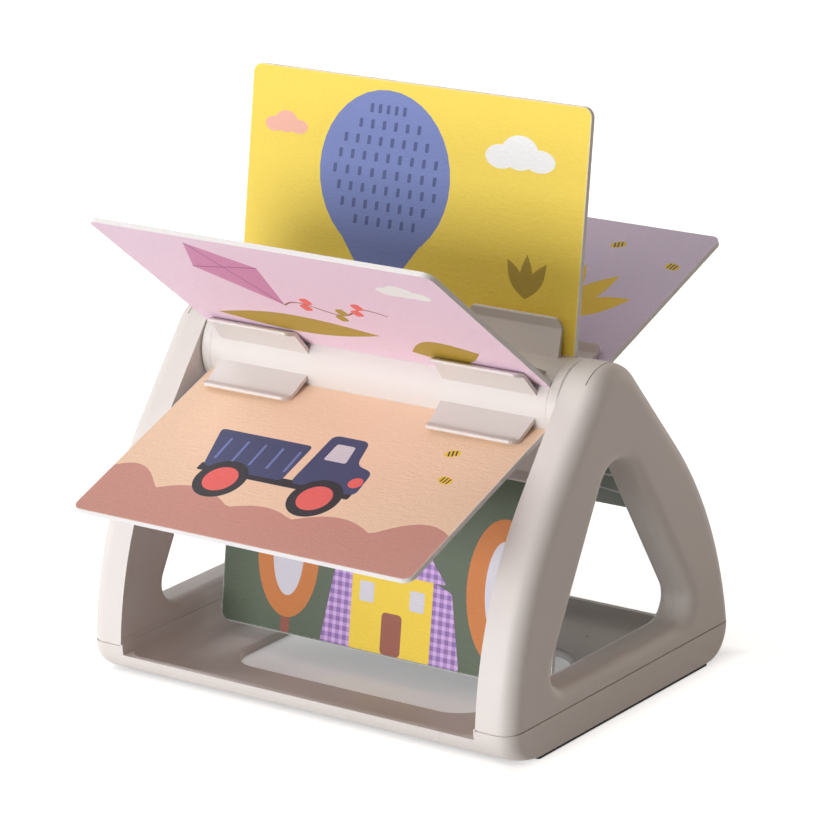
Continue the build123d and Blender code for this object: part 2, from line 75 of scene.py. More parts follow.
# %% Helpers for selecting and finishing
def select_only(*objects):
    """Select these objects and nothing else, and make the first one active."""
    bpy.ops.object.select_all(action="DESELECT")
    for thing in objects:
        thing.select_set(True)
    bpy.context.view_layer.objects.active = objects[0]


def close_skin(thing):
    """Merge doubled points and turn every face outwards."""
    select_only(thing)
    bpy.ops.object.mode_set(mode="EDIT")
    bpy.ops.mesh.select_all(action="SELECT")
    bpy.ops.mesh.remove_doubles(threshold=0.001 * MM)
    bpy.ops.mesh.normals_make_consistent(inside=False)
    bpy.ops.object.mode_set(mode="OBJECT")


bpy.ops.object.select_all(action="DESELECT")
print("selected now:", len(bpy.context.selected_objects))

# %% [markdown]
# ## Finishes that are shared
#
# Three effects come back in several materials, and a fourth is a pattern that any ink can take,
# so each is a node group with named inputs. The first is the fine grain that a spark-eroded mould
# leaves on plastic, with a slow drift in tone that keeps a large pale surface from looking
# computed.


# %% Node group helpers
def new_group(name, inputs, outputs):
    """An empty shader node group with its sockets and its two end nodes."""
    tree = bpy.data.node_groups.new(name, "ShaderNodeTree")
    for label, kind, value in inputs:
        socket = tree.interface.new_socket(name=label, in_out="INPUT", socket_type=kind)
        if value is not None:
            socket.default_value = value
    for label, kind in outputs:
        tree.interface.new_socket(name=label, in_out="OUTPUT", socket_type=kind)
    start = tree.nodes.new("NodeGroupInput")
    end = tree.nodes.new("NodeGroupOutput")
    return tree, start, end


def math_node(tree, operation, first, second=None, third=None):
    """A Math node whose inputs are sockets or plain numbers. Its output is returned."""
    node = tree.nodes.new("ShaderNodeMath")
    node.operation = operation
    for index, value in enumerate((first, second, third)):
        if value is None:
            continue
        if isinstance(value, (int, float)):
            node.inputs[index].default_value = value
        else:
            tree.links.new(value, node.inputs[index])
    return node.outputs[0]


def noise(tree, vector, scale, detail=2.0, roughness=0.5):
    """A noise texture. Its scale is a socket or a number, in lumps to the metre."""
    node = tree.nodes.new("ShaderNodeTexNoise")
    node.inputs["Detail"].default_value = detail
    node.inputs["Roughness"].default_value = roughness
    tree.links.new(vector, node.inputs["Vector"])
    if isinstance(scale, (int, float)):
        node.inputs["Scale"].default_value = scale
    else:
        tree.links.new(scale, node.inputs["Scale"])
    return node.outputs[0]


def object_place(tree):
    """The coordinates of the object that the material is on."""
    return tree.nodes.new("ShaderNodeTexCoord").outputs["Object"]


def separate(tree, vector):
    """The three parts of a vector, each a socket."""
    node = tree.nodes.new("ShaderNodeSeparateXYZ")
    tree.links.new(vector, node.inputs[0])
    return node.outputs


def stretched(tree, vector, factors):
    """The same coordinates, stretched along each axis."""
    node = tree.nodes.new("ShaderNodeMapping")
    node.inputs["Scale"].default_value = factors
    tree.links.new(vector, node.inputs["Vector"])
    return node.outputs[0]


# %% Moulded grain
DRIFT_PER_METRE = 22.0
grain, start, end = new_group(
    "moulded grain",
    [("Vector", "NodeSocketVector", None), ("Grain per metre", "NodeSocketFloat", 2500.0)],
    [("Height", "NodeSocketFloat"), ("Tone", "NodeSocketFloat")],
)
fine = noise(grain, start.outputs["Vector"], start.outputs["Grain per metre"], 3.0, 0.6)
slow = noise(grain, start.outputs["Vector"], DRIFT_PER_METRE, 2.0)
grain.links.new(fine, end.inputs["Height"])
grain.links.new(slow, end.inputs["Tone"])
print("made", grain.name)

# %% [markdown]
# The pages are covered with an embossed paper. Its surface has short, wandering creases in two
# directions, like a coarse linen. Two noises are stretched, one along the page and one across,
# and the higher of the two wins, so the creases cross without blurring into each other.

# %% Embossed paper
FIBRES = 230.0
emboss, start, end = new_group(
    "embossed paper",
    [("Vector", "NodeSocketVector", None), ("Creases", "NodeSocketFloat", 90.0)],
    [("Height", "NodeSocketFloat"), ("Fibre", "NodeSocketFloat")],
)
along = stretched(emboss, start.outputs["Vector"], (0.28, 1.0, 1.0))
across = stretched(emboss, start.outputs["Vector"], (1.0, 0.34, 1.0))
crease_a = noise(emboss, along, start.outputs["Creases"], 2.0, 0.5)
crease_b = noise(emboss, across, start.outputs["Creases"], 2.0, 0.5)
higher = math_node(emboss, "MAXIMUM", crease_a, crease_b)
strands = stretched(emboss, start.outputs["Vector"], (0.2, 1.0, 1.0))
fibre = noise(emboss, strands, FIBRES, 3.0, 0.7)
emboss.links.new(higher, end.inputs["Height"])
emboss.links.new(fibre, end.inputs["Fibre"])
print("made", emboss.name)

# %% [markdown]
# Small hands rub the print off the rims of a board page first. The wear group measures how near a
# point is to the page's rim, from the picture's own coordinates, and breaks that band up with
# noise. It puts out a mask that fades the ink towards the bare board.

# %% Rim wear
wear, start, end = new_group(
    "rim wear",
    [
        ("Vector", "NodeSocketVector", None),
        ("Half width", "NodeSocketFloat", 0.95),
        ("Half height", "NodeSocketFloat", 0.56),
        ("Band", "NodeSocketFloat", 0.02),
    ],
    [("Mask", "NodeSocketFloat")],
)
parts = separate(wear, start.outputs["Vector"])
reach_x = math_node(wear, "ABSOLUTE", parts[0])
reach_y = math_node(wear, "ABSOLUTE", parts[1])
room_x = math_node(wear, "SUBTRACT", start.outputs["Half width"], reach_x)
room_y = math_node(wear, "SUBTRACT", start.outputs["Half height"], reach_y)
room = math_node(wear, "MINIMUM", room_x, room_y)
ragged = math_node(wear, "MULTIPLY", noise(wear, start.outputs["Vector"], 60.0, 4.0, 0.7), 2.0)
edge = math_node(wear, "MULTIPLY", start.outputs["Band"], ragged)
near = math_node(wear, "DIVIDE", math_node(wear, "SUBTRACT", edge, room), start.outputs["Band"])
wear.links.new(math_node(wear, "MAXIMUM", near, 0.0), end.inputs["Mask"])
print("made", wear.name)

# %% [markdown]
# Gingham is woven from two bands of threads. Where a dyed band crosses a plain one the cloth is
# half coloured, and where two dyed bands cross it is fully coloured. Adding a stripe along each
# direction gives just these three tones.

# %% Gingham
PLAIN_SHARE = 0.45
gingham, start, end = new_group(
    "gingham",
    [("Vector", "NodeSocketVector", None), ("Checks", "NodeSocketFloat", 22.0)],
    [("Tone", "NodeSocketFloat")],
)
parts = separate(gingham, start.outputs["Vector"])
bands = []
for index in (0, 1):
    turn = math_node(gingham, "MULTIPLY", parts[index], start.outputs["Checks"])
    phase = math_node(gingham, "FRACT", turn)
    bands.append(math_node(gingham, "GREATER_THAN", phase, PLAIN_SHARE))
both = math_node(gingham, "ADD", bands[0], bands[1])
gingham.links.new(math_node(gingham, "MULTIPLY", both, 0.5), end.inputs["Tone"])
print("made", gingham.name)

# %% [markdown]
# ## Plastic, rubber, steel and board
#
# The frames, the tray and the drum are one warm, pale, matt plastic. Its colour is written as it
# looks in even light. The grain feeds a very shallow bump, and the slow tone shifts the colour by
# a few percent. The drum is a shade darker and a little smoother.


# %% Colour and material helpers
def linear(red, green, blue):
    """A screen colour, written 0 to 255, as the linear light that Blender works in."""
    values = []
    for part in (red, green, blue):
        part = part / 255
        values.append(part / 12.92 if part <= 0.04045 else ((part + 0.055) / 1.055) ** 2.4)
    return (*values, 1.0)


def new_material(name, roughness):
    """A material with its node tree and its Principled shader."""
    material = bpy.data.materials.new(name)
    material.use_nodes = True
    shader = material.node_tree.nodes["Principled BSDF"]
    shader.inputs["Roughness"].default_value = roughness
    return material, material.node_tree, shader


def use_group(tree, group, place, **values):
    """Place a shared node group, with the coordinates it works in and its own values."""
    node = tree.nodes.new("ShaderNodeGroup")
    node.node_tree = group
    tree.links.new(place, node.inputs["Vector"])
    for label, value in values.items():
        node.inputs[label.replace("_", " ")].default_value = value
    return node


def blend_colours(tree, factor, first, second):
    """Mix two colours, each a socket or a plain colour, by a socket."""
    node = tree.nodes.new("ShaderNodeMix")
    node.data_type = "RGBA"
    tree.links.new(factor, node.inputs["Factor"])
    for socket, value in ((node.inputs["A"], first), (node.inputs["B"], second)):
        if isinstance(value, tuple):
            socket.default_value = value
        else:
            tree.links.new(value, socket)
    return node.outputs["Result"]


def add_bump(tree, shader, height, distance, strength):
    """Lift the surface by a height, a distance in metres at full strength."""
    node = tree.nodes.new("ShaderNodeBump")
    node.inputs["Distance"].default_value = distance
    node.inputs["Strength"].default_value = strength
    tree.links.new(height, node.inputs["Height"])
    tree.links.new(node.outputs[0], shader.inputs["Normal"])


def tinted(colour, factor):
    """The same colour, lighter or darker."""
    return (*[min(1.0, part * factor) for part in colour[:3]], 1.0)


# %% Moulded plastic
TONE_DRIFT = 0.035


def moulded_plastic(name, colour, roughness=0.52):
    """A matt plastic with the mould's grain and a slow drift in tone."""
    material, tree, shader = new_material(name, roughness)
    surface = use_group(tree, grain, object_place(tree), Grain_per_metre=2400.0)
    darker, lighter = tinted(colour, 1 - TONE_DRIFT), tinted(colour, 1 + TONE_DRIFT)
    mixed = blend_colours(tree, surface.outputs["Tone"], darker, lighter)
    tree.links.new(mixed, shader.inputs["Base Color"])
    rough = math_node(tree, "MULTIPLY_ADD", surface.outputs["Height"], 0.12, roughness - 0.06)
    tree.links.new(rough, shader.inputs["Roughness"])
    add_bump(tree, shader, surface.outputs["Height"], 0.03 * MM, 0.5)
    return material


sand = linear(221, 214, 209)
body_plastic = moulded_plastic("sand plastic", sand)
drum_plastic = moulded_plastic("drum plastic", tinted(sand, 0.96), 0.46)
print("made", body_plastic.name, "and", drum_plastic.name)

# %% [markdown]
# The strips under the ends are soft black rubber. The screws are steel, brushed by the driver:
# their scratches run round, so the noise is squeezed along the screw's own length. The pages are
# pale board. Pictures cover both faces, so only the cut edges stay bare, with the uneven tone of
# pressed fibre.

# %% Rubber
strip_rubber, tree, shader = new_material("strip rubber", 0.85)
surface = use_group(tree, grain, object_place(tree), Grain_per_metre=1200.0)
mixed = blend_colours(tree, surface.outputs["Tone"], linear(34, 33, 33), linear(48, 46, 45))
tree.links.new(mixed, shader.inputs["Base Color"])
add_bump(tree, shader, surface.outputs["Height"], 0.1 * MM, 0.6)

# %% Screw steel
screw_steel, tree, shader = new_material("screw steel", 0.3)
shader.inputs["Metallic"].default_value = 1.0
brushed = noise(tree, stretched(tree, object_place(tree), (1.0, 1.0, 6.0)), 1800.0, 3.0)
mixed = blend_colours(tree, brushed, linear(168, 170, 172), linear(205, 206, 208))
tree.links.new(mixed, shader.inputs["Base Color"])
rough = math_node(tree, "MULTIPLY_ADD", brushed, 0.25, 0.2)
tree.links.new(rough, shader.inputs["Roughness"])
add_bump(tree, shader, brushed, 0.02 * MM, 0.4)

# %% Page board
page_board, tree, shader = new_material("page board", 0.75)
surface = use_group(tree, grain, object_place(tree), Grain_per_metre=1500.0)
mixed = blend_colours(
    tree, surface.outputs["Height"], linear(228, 225, 224), linear(243, 241, 240)
)
tree.links.new(mixed, shader.inputs["Base Color"])
add_bump(tree, shader, surface.outputs["Height"], 0.08 * MM, 0.5)
print("made", strip_rubber.name, screw_steel.name, page_board.name)


# %% Dress the exact pieces
def finish_for(name):
    """The finish of a node of the exact model, by what the piece is."""
    if name.startswith("page_"):
        return page_board
    if name.endswith("screws"):
        return screw_steel
    if name.endswith("strip"):
        return strip_rubber
    if name.startswith("drum_") or name.endswith("hub"):
        return drum_plastic
    return body_plastic


for name, thing in nodes.items():
    for slot in thing.material_slots:
        slot.material = finish_for(name)
print("dressed", len(nodes), "pieces")

# %% [markdown]
# ## Where the pages are
#
# The pictures have to lie on the pages wherever the drum rests. So each page's direction, reach
# and thickness are measured from its own points, seen from the drum's axis.


# %% Measure the pages
def measure_page(name):
    """The page's angle about the axis, its reach, half its width and half its thickness."""
    points = [(p.co.x, p.co.y, p.co.z - axis_z) for p in nodes[name].data.vertices]
    angle = atan2(sum(p[2] for p in points), sum(p[1] for p in points))
    out = [p[1] * cos(angle) + p[2] * sin(angle) for p in points]
    aside = [abs(p[2] * cos(angle) - p[1] * sin(angle)) for p in points]
    wide = max(abs(p[0]) for p in points)
    return angle, max(out), wide, max(aside)


pages = {index: measure_page(f"page_{index}") for index in range(1, 7)}
low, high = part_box("right_drum_hub")
drum_radius = (high.z - low.z) / 2
_, page_reach, page_half, _ = pages[1]
picture_height = (page_reach - drum_radius) / MM
picture_half = page_half / MM
for index, (angle, reach, _, _) in pages.items():
    print("page", index, "at", round(degrees(angle), 1), "degrees, reach", round(reach, 4))

# %% [markdown]
# ## Printing with thin cut-outs
#
# A print could be painted by the material, but crisp shapes would then need many nodes. Here each
# shape is a filled, flat curve with a hair's thickness, like a cut-out that is pressed on. Each
# picture has its own coordinates in millimetres: u runs to the right and v upwards from the
# picture's lower edge. A picture on a rising page has its lower edge at the drum, and one on a
# falling page at the page's free edge, so both are upright for someone in front of the book.


# %% Outlines
def oval(u, v, wide, tall, tilt=0.0, steps=36):
    """Points round an oval."""
    turn = radians(tilt)
    points = []
    for step in range(steps):
        a = 2 * pi * step / steps
        x = wide * cos(a)
        y = tall * sin(a)
        points.append((u + x * cos(turn) - y * sin(turn), v + x * sin(turn) + y * cos(turn)))
    return points


def disc(u, v, radius):
    """Points round a circle."""
    return oval(u, v, radius, radius)


def rounded(corners, radius, steps=6):
    """A polygon with rounded corners."""
    points = []
    for index, corner in enumerate(corners):
        here = Vector(corner)
        before = Vector(corners[index - 1]) - here
        after = Vector(corners[(index + 1) % len(corners)]) - here
        cut = min(radius, before.length / 2, after.length / 2)
        start = here + before.normalized() * cut
        end = here + after.normalized() * cut
        for step in range(steps + 1):
            t = step / steps
            spot = start * (1 - t) ** 2 + here * 2 * t * (1 - t) + end * t**2
            points.append((spot.x, spot.y))
    return points


def leaf(u, v, length, width, tilt, steps=12):
    """A leaf that grows from a point, with two pointed ends."""
    turn = radians(tilt)
    sides = [(length * s / steps, width * sin(pi * s / steps) / 2) for s in range(steps + 1)]
    sides += [(x, -y) for x, y in reversed(sides[1:-1])]
    return [
        (u + x * cos(turn) - y * sin(turn), v + x * sin(turn) + y * cos(turn)) for x, y in sides
    ]


def ribbon(points, width):
    """A strip of even width along a line of points."""
    spots = [Vector(p) for p in points]
    left_side = []
    right_side = []
    for index, spot in enumerate(spots):
        ahead = spots[min(index + 1, len(spots) - 1)]
        behind = spots[max(index - 1, 0)]
        way = (ahead - behind).normalized()
        across = Vector((-way.y, way.x)) * width / 2
        left_side.append(tuple(spot + across))
        right_side.append(tuple(spot - across))
    return left_side + right_side[::-1]


def wave(u0, v0, u1, v1, swing, turns, steps=24):
    """Points of a line that swings from side to side on its way."""
    points = []
    for step in range(steps + 1):
        t = step / steps
        push = swing * sin(2 * pi * turns * t)
        across = Vector((v0 - v1, u1 - u0)).normalized() * push
        points.append((u0 + (u1 - u0) * t + across.x, v0 + (v1 - v0) * t + across.y))
    return points


PICTURE_CORNER = 4.8
GROUND_INSET = 0.2
GROUND_FOOT = 0.25
CREST_COLUMNS = 60
CORNER_STEPS = 5


def ground(crest):
    """A field of colour from the picture's lower edge up to a crest, from rim to rim."""
    half = picture_half - GROUND_INSET
    points = []
    for side, first in ((1, -90), (-1, 180)):
        centre = side * (half - PICTURE_CORNER)
        for step in range(CORNER_STEPS + 1):
            a = radians(first + 90 * step / CORNER_STEPS)
            height = GROUND_FOOT + PICTURE_CORNER + PICTURE_CORNER * sin(a)
            points.append((centre + PICTURE_CORNER * cos(a), height))
        if side > 0:
            columns = [half - 2 * half * s / CREST_COLUMNS for s in range(CREST_COLUMNS + 1)]
            points += [(u, crest(u)) for u in columns]
    return points


def hills(*tops):
    """A crest of round hills, each given by its middle, half width and height over a base."""

    def crest(u):
        best = tops[0]
        for middle, wide, tall in tops[1:]:
            away = abs(u - middle) / wide
            if away < 1:
                best = max(best, tops[0] + tall * cos(away * pi / 2))
        return best

    return crest


print("an oval has", len(oval(0, 0, 1, 1)), "points")

# %% [markdown]
# ## Inks
#
# Every ink is a plain colour on the embossed paper. The fibre noise lets a little of the paper
# through, the creases go to the bump, and the rim wear fades the ink where fingers rub it.


# %% The ink material
def picture_place(tree):
    """The picture's own coordinates, in tenths of a metre from its middle."""
    node = tree.nodes.new("ShaderNodeUVMap")
    node.uv_map = "picture"
    return node.outputs[0]


CREASES = 66.0
CREASE_DEPTH = 0.32 * MM
FIBRE_TONE = 0.12
RUBBED_BAND = 0.008
RUBBED_FADE = 0.5
BARE_PAPER = linear(238, 235, 230)


def make_ink(name, colour, second=None, checks=22.0):
    """An ink on embossed paper. With a second colour it is a gingham of the two."""
    material, tree, shader = new_material(name, 0.6)
    place = picture_place(tree)
    paper = use_group(tree, emboss, place, Creases=CREASES)
    rubbed = use_group(
        tree, wear, place,
        Half_width=picture_half / 100, Half_height=picture_height / 200, Band=RUBBED_BAND,
    )
    darker, lighter = tinted(colour, 1 - FIBRE_TONE), tinted(colour, 1 + FIBRE_TONE)
    mixed = blend_colours(tree, paper.outputs["Fibre"], darker, lighter)
    if second:
        weave = use_group(tree, gingham, place, Checks=checks)
        mixed = blend_colours(tree, weave.outputs["Tone"], mixed, second)
    fade = math_node(tree, "MULTIPLY", rubbed.outputs["Mask"], RUBBED_FADE)
    mixed = blend_colours(tree, fade, mixed, BARE_PAPER)
    tree.links.new(mixed, shader.inputs["Base Color"])
    add_bump(tree, shader, paper.outputs["Height"], CREASE_DEPTH, 1.0)
    return material


ink = {
    "yellow": make_ink("yellow ink", linear(250, 215, 80)),
    "pink": make_ink("pink ink", linear(236, 209, 226)),
    "peach": make_ink("peach ink", linear(249, 213, 182)),
    "green": make_ink("dark green ink", linear(86, 98, 78)),
    "blue": make_ink("pale blue ink", linear(176, 200, 214)),
    "lilac": make_ink("lilac ink", linear(230, 219, 244)),
    "periwinkle": make_ink("periwinkle ink", linear(113, 127, 184)),
    "dusk": make_ink("dusk ink", linear(66, 78, 128)),
    "salmon": make_ink("salmon ink", linear(241, 180, 160)),
    "coral": make_ink("coral ink", linear(238, 108, 102)),
    "brown": make_ink("brown ink", linear(206, 150, 136)),
    "bark": make_ink("bark ink", linear(150, 84, 66)),
    "mauve": make_ink("mauve ink", linear(206, 136, 174)),
    "plum": make_ink("plum ink", linear(160, 90, 132)),
    "olive": make_ink("olive ink", linear(176, 148, 50)),
    "orange": make_ink("orange ink", linear(202, 122, 58)),
    "navy": make_ink("navy ink", linear(64, 72, 110)),
    "black": make_ink("black ink", linear(32, 32, 38)),
    "mist": make_ink("mist ink", linear(214, 210, 218)),
    "white": make_ink("white ink", linear(244, 242, 240)),
    "gold": make_ink("gold ink", linear(242, 208, 62)),
    "check": make_ink("check ink", linear(214, 178, 228), linear(140, 104, 170), 24.0),
}
print("mixed", len(ink), "inks")

# %% [markdown]
# ## The motifs
#
# Each motif is a list of inked shapes: the ink, how many layers lie under it, and its outline.
# The motifs are everyday things in flat colours, and each takes its place and size, so that one
# picture can use it large and another small.


# %% Balloon, kite and truck
def balloon(u, v, size, skin="periwinkle", dash="dusk"):
    """A hot-air balloon with rows of short dashes, two ropes and a basket."""
    shapes = [(skin, 1.4, oval(u, v, size, size * 1.04))]
    shapes.append((skin, 1, rounded(
        [(u - 0.7 * size, v - 0.7 * size), (u + 0.7 * size, v - 0.7 * size),
         (u + 0.2 * size, v - 1.35 * size), (u - 0.2 * size, v - 1.35 * size)], 0.12 * size,
    )))
    for row in range(-3, 5):
        reach = size * 0.86 * cos(row * 0.3)
        count = 3 + int(reach / 5)
        for step in range(count):
            x = u - reach + 2 * reach * (step + 0.5) / count + (row % 2) * 1.5
            y = v + row * size * 0.2
            if hypot(x - u, y - v) < size * 0.86:
                shapes.append((dash, 2, rounded([
                    (x - 1.1, y - 2.2), (x + 0.9, y - 2.0), (x + 1.2, y + 2.2), (x - 0.8, y + 2.0),
                ], 0.6)))
    for side in (-1, 1):
        shapes.append(("bark", 1, ribbon([
            (u + side * 0.17 * size, v - 1.3 * size), (u + side * 0.14 * size, v - 1.6 * size),
        ], 0.9)))
    shapes.append(("salmon", 2, rounded(
        [(u - 0.24 * size, v - 1.55 * size), (u + 0.24 * size, v - 1.55 * size),
         (u + 0.18 * size, v - 1.93 * size), (u - 0.18 * size, v - 1.93 * size)], 1.6,
    )))
    shapes.append(("coral", 3, rounded(
        [(u - 0.27 * size, v - 1.5 * size), (u + 0.27 * size, v - 1.5 * size),
         (u + 0.27 * size, v - 1.61 * size), (u - 0.27 * size, v - 1.61 * size)], 1.0,
    )))
    return shapes


def kite(u, v, size, skin="mauve", sag=1.5):
    """A kite with two spars and a tail of bows, which sags below its middle by the last value."""
    nose = (u - 0.35 * size, v + size)
    heel = (u + 0.35 * size, v - size)
    wing_a = (u - 0.78 * size, v + 0.05 * size)
    wing_b = (u + 0.7 * size, v + 0.42 * size)
    shapes = [
        (skin, 1, rounded([nose, wing_b, heel, wing_a], 2.0)),
        ("plum", 2, ribbon([nose, heel], 0.9)),
        ("plum", 2.4, ribbon([wing_a, wing_b], 0.9)),
    ]
    tail = wave(heel[0], heel[1], u + 2.5 * size, v - sag * size, 0.16 * size, 1.5)
    shapes.append(("bark", 1, ribbon(tail, 1.0)))
    for step, colour in ((6, "coral"), (12, "olive"), (18, "coral")):
        x, y = tail[step]
        shapes.append((colour, 2, leaf(x, y, 0.3 * size, 0.22 * size, 60)))
        shapes.append((colour, 2, leaf(x, y, 0.3 * size, 0.22 * size, 240)))
    return shapes


def truck(u, v, size):
    """A tipper truck with a round window, on two ringed wheels."""
    shapes = [
        ("navy", 2, rounded([
            (u - 1.25 * size, v + 0.2 * size), (u + 0.1 * size, v + 0.2 * size),
            (u + 0.1 * size, v + 1.0 * size), (u - 1.5 * size, v + 1.0 * size),
        ], 3.0)),
        ("navy", 2, rounded([
            (u + 0.25 * size, v + 0.2 * size), (u + 1.35 * size, v + 0.2 * size),
            (u + 1.3 * size, v + 0.72 * size), (u + 0.98 * size, v + 0.8 * size),
            (u + 0.86 * size, v + 1.3 * size), (u + 0.25 * size, v + 1.3 * size),
        ], 4.0)),
        ("black", 1, rounded([
            (u - 1.3 * size, v + 0.1 * size), (u + 1.3 * size, v + 0.1 * size),
            (u + 1.3 * size, v + 0.26 * size), (u - 1.3 * size, v + 0.26 * size),
        ], 1.0)),
        ("mist", 3, rounded([
            (u + 0.42 * size, v + 0.78 * size), (u + 0.8 * size, v + 0.78 * size),
            (u + 0.73 * size, v + 1.14 * size), (u + 0.42 * size, v + 1.14 * size),
        ], 1.5)),
        ("coral", 3, disc(u + 1.2 * size, v + 0.45 * size, 0.11 * size)),
    ]
    for step in range(5):
        x = u - 1.2 * size + 0.3 * step * size
        shapes.append(("periwinkle", 3, rounded([
            (x, v + 0.38 * size), (x + 1.4, v + 0.38 * size),
            (x + 0.6, v + 0.84 * size), (x - 0.8, v + 0.84 * size),
        ], 0.5)))
    for x in (u - 0.8 * size, u + 0.82 * size):
        shapes.append(("black", 3, disc(x, v, 0.4 * size)))
        shapes.append(("coral", 4, disc(x, v, 0.26 * size)))
    return shapes


# %% Trees, houses, suns and small things
def round_tree(u, v, size, crown="orange", trunk=0.45):
    """A tall oval tree with a pale heart, on a trunk that is given as a share of its size."""
    middle = v + (trunk + 0.85) * size
    return [
        ("bark", 1, ribbon([(u, v), (u, v + (trunk + 0.1) * size)], 0.14 * size)),
        (crown, 2, oval(u, middle, 0.5 * size, 0.85 * size)),
        ("mist", 3, oval(u, middle + 0.02 * size, 0.25 * size, 0.58 * size)),
    ]


def house(u, v, size):
    """A yellow house with a checked roof and two checked lean-tos."""
    shapes = [
        ("check", 1, rounded([
            (u - 1.25 * size, v), (u - 0.6 * size, v), (u - 0.6 * size, v + 1.25 * size),
            (u - 1.05 * size, v + 1.1 * size),
        ], 1.5)),
        ("check", 1, rounded([
            (u + 0.6 * size, v), (u + 1.25 * size, v), (u + 1.05 * size, v + 1.1 * size),
            (u + 0.6 * size, v + 1.25 * size),
        ], 1.5)),
        ("gold", 2, rounded([
            (u - 0.72 * size, v), (u + 0.72 * size, v), (u + 0.72 * size, v + 1.3 * size),
            (u - 0.72 * size, v + 1.3 * size),
        ], 1.0)),
        ("check", 3, rounded([
            (u - 0.95 * size, v + 1.2 * size), (u + 0.95 * size, v + 1.2 * size),
            (u + 0.3 * size, v + 1.95 * size), (u - 0.3 * size, v + 1.95 * size),
        ], 2.0)),
        ("bark", 3, rounded([
            (u - 0.16 * size, v), (u + 0.2 * size, v), (u + 0.2 * size, v + 0.62 * size),
            (u - 0.16 * size, v + 0.62 * size),
        ], 2.5)),
    ]
    for x in (u - 0.45 * size, u + 0.45 * size):
        shapes.append(("mist", 3, rounded([
            (x - 0.13 * size, v + 0.72 * size), (x + 0.13 * size, v + 0.72 * size),
            (x + 0.13 * size, v + 1.02 * size), (x - 0.13 * size, v + 1.02 * size),
        ], 1.0)))
    return shapes


def cloud(u, v, size, colour="white"):
    """Three puffs on a flat base."""
    return [
        (colour, 1, oval(u - 0.6 * size, v, 0.5 * size, 0.32 * size)),
        (colour, 2, oval(u, v + 0.16 * size, 0.6 * size, 0.46 * size)),
        (colour, 3, oval(u + 0.65 * size, v, 0.5 * size, 0.3 * size)),
    ]


def sun(u, v, size, colour="gold"):
    """A disc with a ring of short rays."""
    shapes = [(colour, 1, disc(u, v, size))]
    for step in range(12):
        a = 2 * pi * step / 12
        shapes.append((colour, 1, ribbon([
            (u + 1.25 * size * cos(a), v + 1.25 * size * sin(a)),
            (u + 1.6 * size * cos(a), v + 1.6 * size * sin(a)),
        ], 0.16 * size)))
    return shapes


def sprig(u, v, size, tilt, colour="olive"):
    """Three leaves from one point."""
    return [(colour, 1 + step, leaf(u, v, size, 0.34 * size, tilt + turn))
            for step, turn in enumerate((-32, 0, 32))]


def pebble(u, v, size, tilt=20):
    """A small striped oval."""
    turn = radians(tilt)
    shapes = [("gold", 1, oval(u, v, size, 0.62 * size, tilt))]
    for shift in (-0.45, 0.0, 0.45):
        middle = Vector((u + shift * size * cos(turn), v + shift * size * sin(turn)))
        half = 0.5 * size * (1 - shift**2) ** 0.5
        across = Vector((-sin(turn), cos(turn))) * half
        stripe = ribbon([tuple(middle - across), tuple(middle + across)], 0.2 * size)
        shapes.append(("black", 2, stripe))
    return shapes


def boat(u, v, size):
    """A sailing boat."""
    return [
        ("coral", 1, rounded([
            (u - size, v + 0.3 * size), (u + size, v + 0.3 * size),
            (u + 0.65 * size, v - 0.2 * size), (u - 0.65 * size, v - 0.2 * size),
        ], 3.0)),
        ("bark", 1, ribbon([(u, v + 0.3 * size), (u, v + 1.7 * size)], 1.2)),
        ("white", 2, rounded([
            (u + 0.08 * size, v + 0.45 * size), (u + 0.85 * size, v + 0.45 * size),
            (u + 0.08 * size, v + 1.65 * size),
        ], 1.5)),
        ("periwinkle", 2, rounded([
            (u - 0.08 * size, v + 0.5 * size), (u - 0.6 * size, v + 0.5 * size),
            (u - 0.08 * size, v + 1.4 * size),
        ], 1.5)),
    ]


print("a truck has", len(truck(0, 0, 20)), "shapes")

# %% [markdown]
# ## The pictures
#
# A picture is a ground colour and a list of motifs. The pictures that face up on rising pages
# start at the drum, and those on falling pages start at the free edge.


# %% Twelve pictures
rising = {
    1: ("yellow", balloon(-16, 68, 37) + cloud(58, 84, 17)
        + cloud(-74, 84, 11, "salmon") + sprig(66, 22, 20, 90)),
    2: ("pink", [("olive", 1, leaf(-78, 22, 96, 20, 3)), ("olive", 1.4, leaf(28, 14, 46, 22, 16))]
        + kite(-34, 75, 29, sag=0.72) + cloud(66, 86, 13)),
    3: ("lilac", [("mauve", 1, leaf(-60, 20, 70, 24, 50))] + sun(40, 62, 16) + cloud(-20, 84, 14)),
    4: ("blue", boat(10, 34, 34) + sun(-60, 84, 10) + cloud(60, 86, 13)
        + [("periwinkle", 3, ribbon(wave(-80, 18, 80, 18, 2, 6), 2.0))]),
    5: ("peach", balloon(30, 74, 26, "coral", "bark") + cloud(-50, 80, 14)
        + sprig(-40, 20, 18, 90)),
    6: ("lilac", sprig(44, 36, 40, 62, "gold") + sprig(-44, 30, 40, 100) + pebble(48, 94, 4.0)
        + pebble(84, 84, 4.0, -10) + pebble(-10, 86, 4.0, 40)),
}
